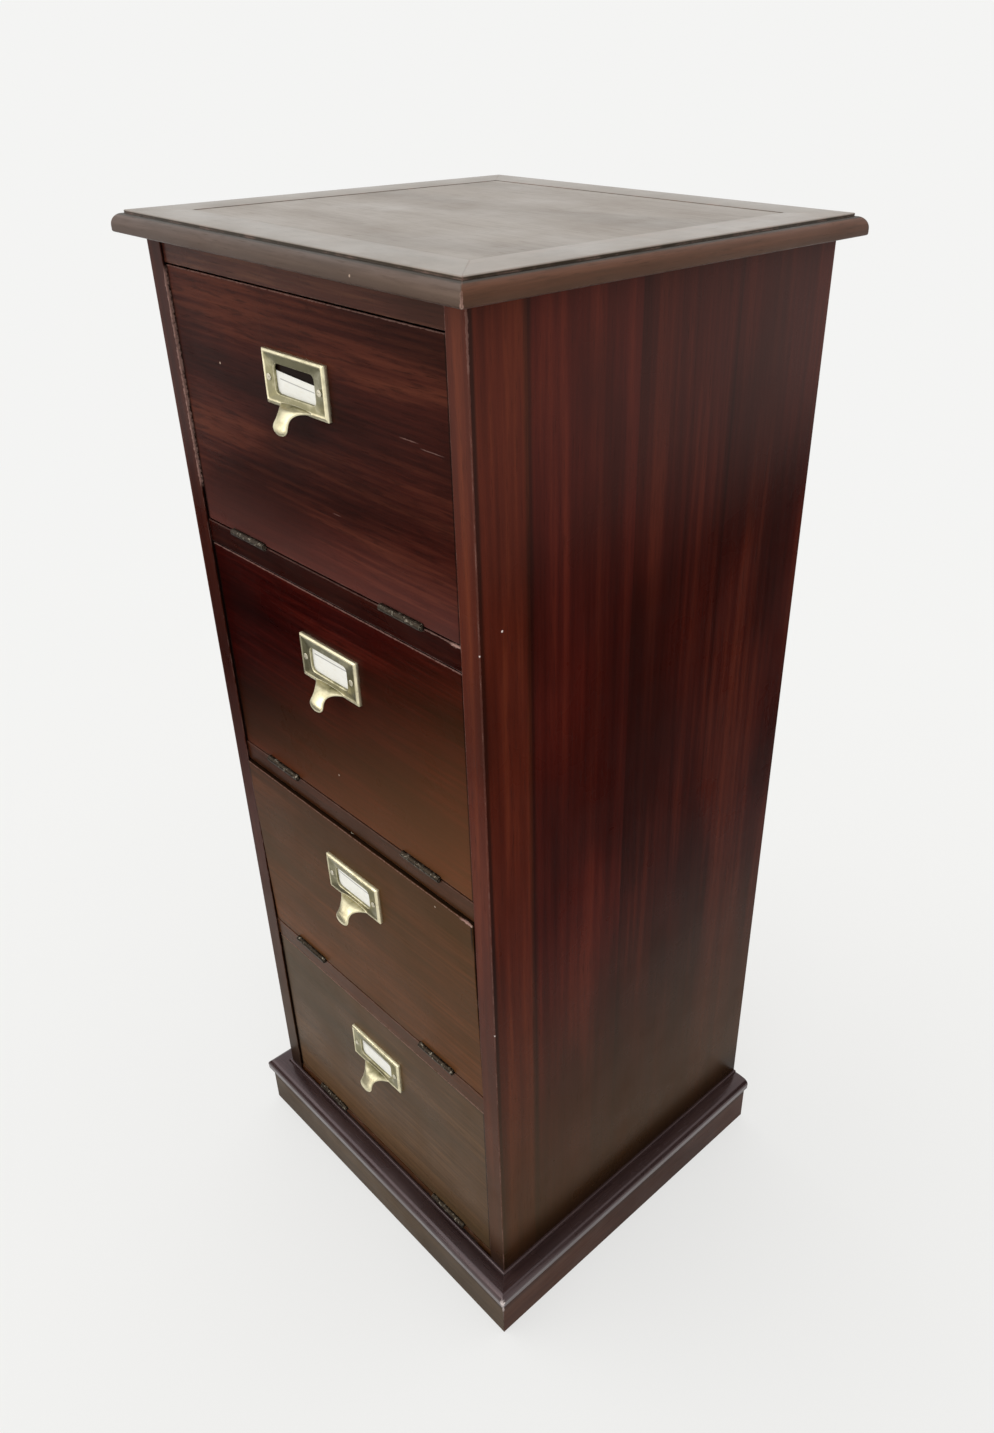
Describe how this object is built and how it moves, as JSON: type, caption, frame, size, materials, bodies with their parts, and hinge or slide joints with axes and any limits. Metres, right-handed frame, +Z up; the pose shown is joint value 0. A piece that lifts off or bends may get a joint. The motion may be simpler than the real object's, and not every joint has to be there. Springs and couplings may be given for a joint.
{
  "type": "sorting cabinet",
  "caption": "Tall square cabinet on a moulded plinth, with bottom-hinged fall flaps, brass card-frame pulls and a moulded top.",
  "frame": {"origin": "on the floor, under the middle of the whole footprint", "axes": "+Z up; +X to the right along the front; the flaps face -Y"},
  "size_m": [0.432, 0.4124, 1.016],
  "materials": {
    "mahogany_case": "French polish, soft sheen",
    "mahogany_flap": "French polish, soft sheen",
    "mahogany_top": "polished, lightly worn",
    "mahogany_plinth": "French polish",
    "top_veneer": "satin, worn",
    "inner_wood": "unpolished",
    "back_wood": "unpolished, stained",
    "cast_brass": "dull polish",
    "hinge_metal": "darkened, worn bright at the knuckles",
    "screw_steel": "darkened",
    "catch_brass": "plain",
    "card_paper": "matt"
  },
  "bodies": {
    "case": {"top_border_front": "mahogany_top", "top_border_back": "mahogany_top", "top_border_left": "mahogany_top", "top_border_right": "mahogany_top", "top_core": "inner_wood", "top_panel": "top_veneer", "side_left": "mahogany_case", "side_right": "mahogany_case", "back_boards": "back_wood", "bottom_board": "mahogany_case", "rail_1": "mahogany_case", "rail_2": "mahogany_case", "rail_3": "mahogany_case", "shelf_1": "inner_wood", "shelf_2": "inner_wood", "shelf_3": "inner_wood", "top_rail_front": "mahogany_case", "top_rail_back": "inner_wood", "plinth_front": "mahogany_plinth", "plinth_left": "mahogany_plinth", "plinth_right": "mahogany_plinth", "plinth_back": "inner_wood", "plinth_cap_front": "mahogany_plinth", "plinth_cap_left": "mahogany_plinth", "plinth_cap_right": "mahogany_plinth", "glue_blocks": "inner_wood", "flap_stops": "inner_wood", "hinge_leaves_fixed": "hinge_metal", "hinge_pins": "hinge_metal", "hinge_screws_fixed": "screw_steel", "catch_strikes": "catch_brass"},
    "fall_flap_1": {"flap_1": "mahogany_flap", "card_frame_1": "cast_brass", "card_1": "card_paper", "frame_screws_1": "cast_brass", "hinge_leaves_1": "hinge_metal", "hinge_screws_1": "screw_steel", "ball_catch_1": "catch_brass"},
    "fall_flap_2": {"flap_2": "mahogany_flap", "card_frame_2": "cast_brass", "card_2": "card_paper", "frame_screws_2": "cast_brass", "hinge_leaves_2": "hinge_metal", "hinge_screws_2": "screw_steel", "ball_catch_2": "catch_brass"},
    "fall_flap_3": {"flap_3": "mahogany_flap", "card_frame_3": "cast_brass", "card_3": "card_paper", "frame_screws_3": "cast_brass", "hinge_leaves_3": "hinge_metal", "hinge_screws_3": "screw_steel", "ball_catch_3": "catch_brass"},
    "fall_flap_4": {"flap_4": "mahogany_flap", "card_frame_4": "cast_brass", "card_4": "card_paper", "frame_screws_4": "cast_brass", "hinge_leaves_4": "hinge_metal", "hinge_screws_4": "screw_steel", "ball_catch_4": "catch_brass"}
  },
  "joints": [
    {"name": "flap_1_fall", "type": "hinge", "parent": "case", "child": "fall_flap_1", "pos_m": [0, -0.18345, 0.7688], "axis": [1, 0, 0], "range_deg": [0, 150]},
    {"name": "flap_2_fall", "type": "hinge", "parent": "case", "child": "fall_flap_2", "pos_m": [0, -0.18345, 0.5368], "axis": [1, 0, 0], "range_deg": [0, 150]},
    {"name": "flap_3_fall", "type": "hinge", "parent": "case", "child": "fall_flap_3", "pos_m": [0, -0.18345, 0.3048], "axis": [1, 0, 0], "range_deg": [-1, 150]},
    {"name": "flap_4_fall", "type": "hinge", "parent": "case", "child": "fall_flap_4", "pos_m": [0, -0.18345, 0.0728], "axis": [1, 0, 0], "range_deg": [0, 110]}
  ]
}
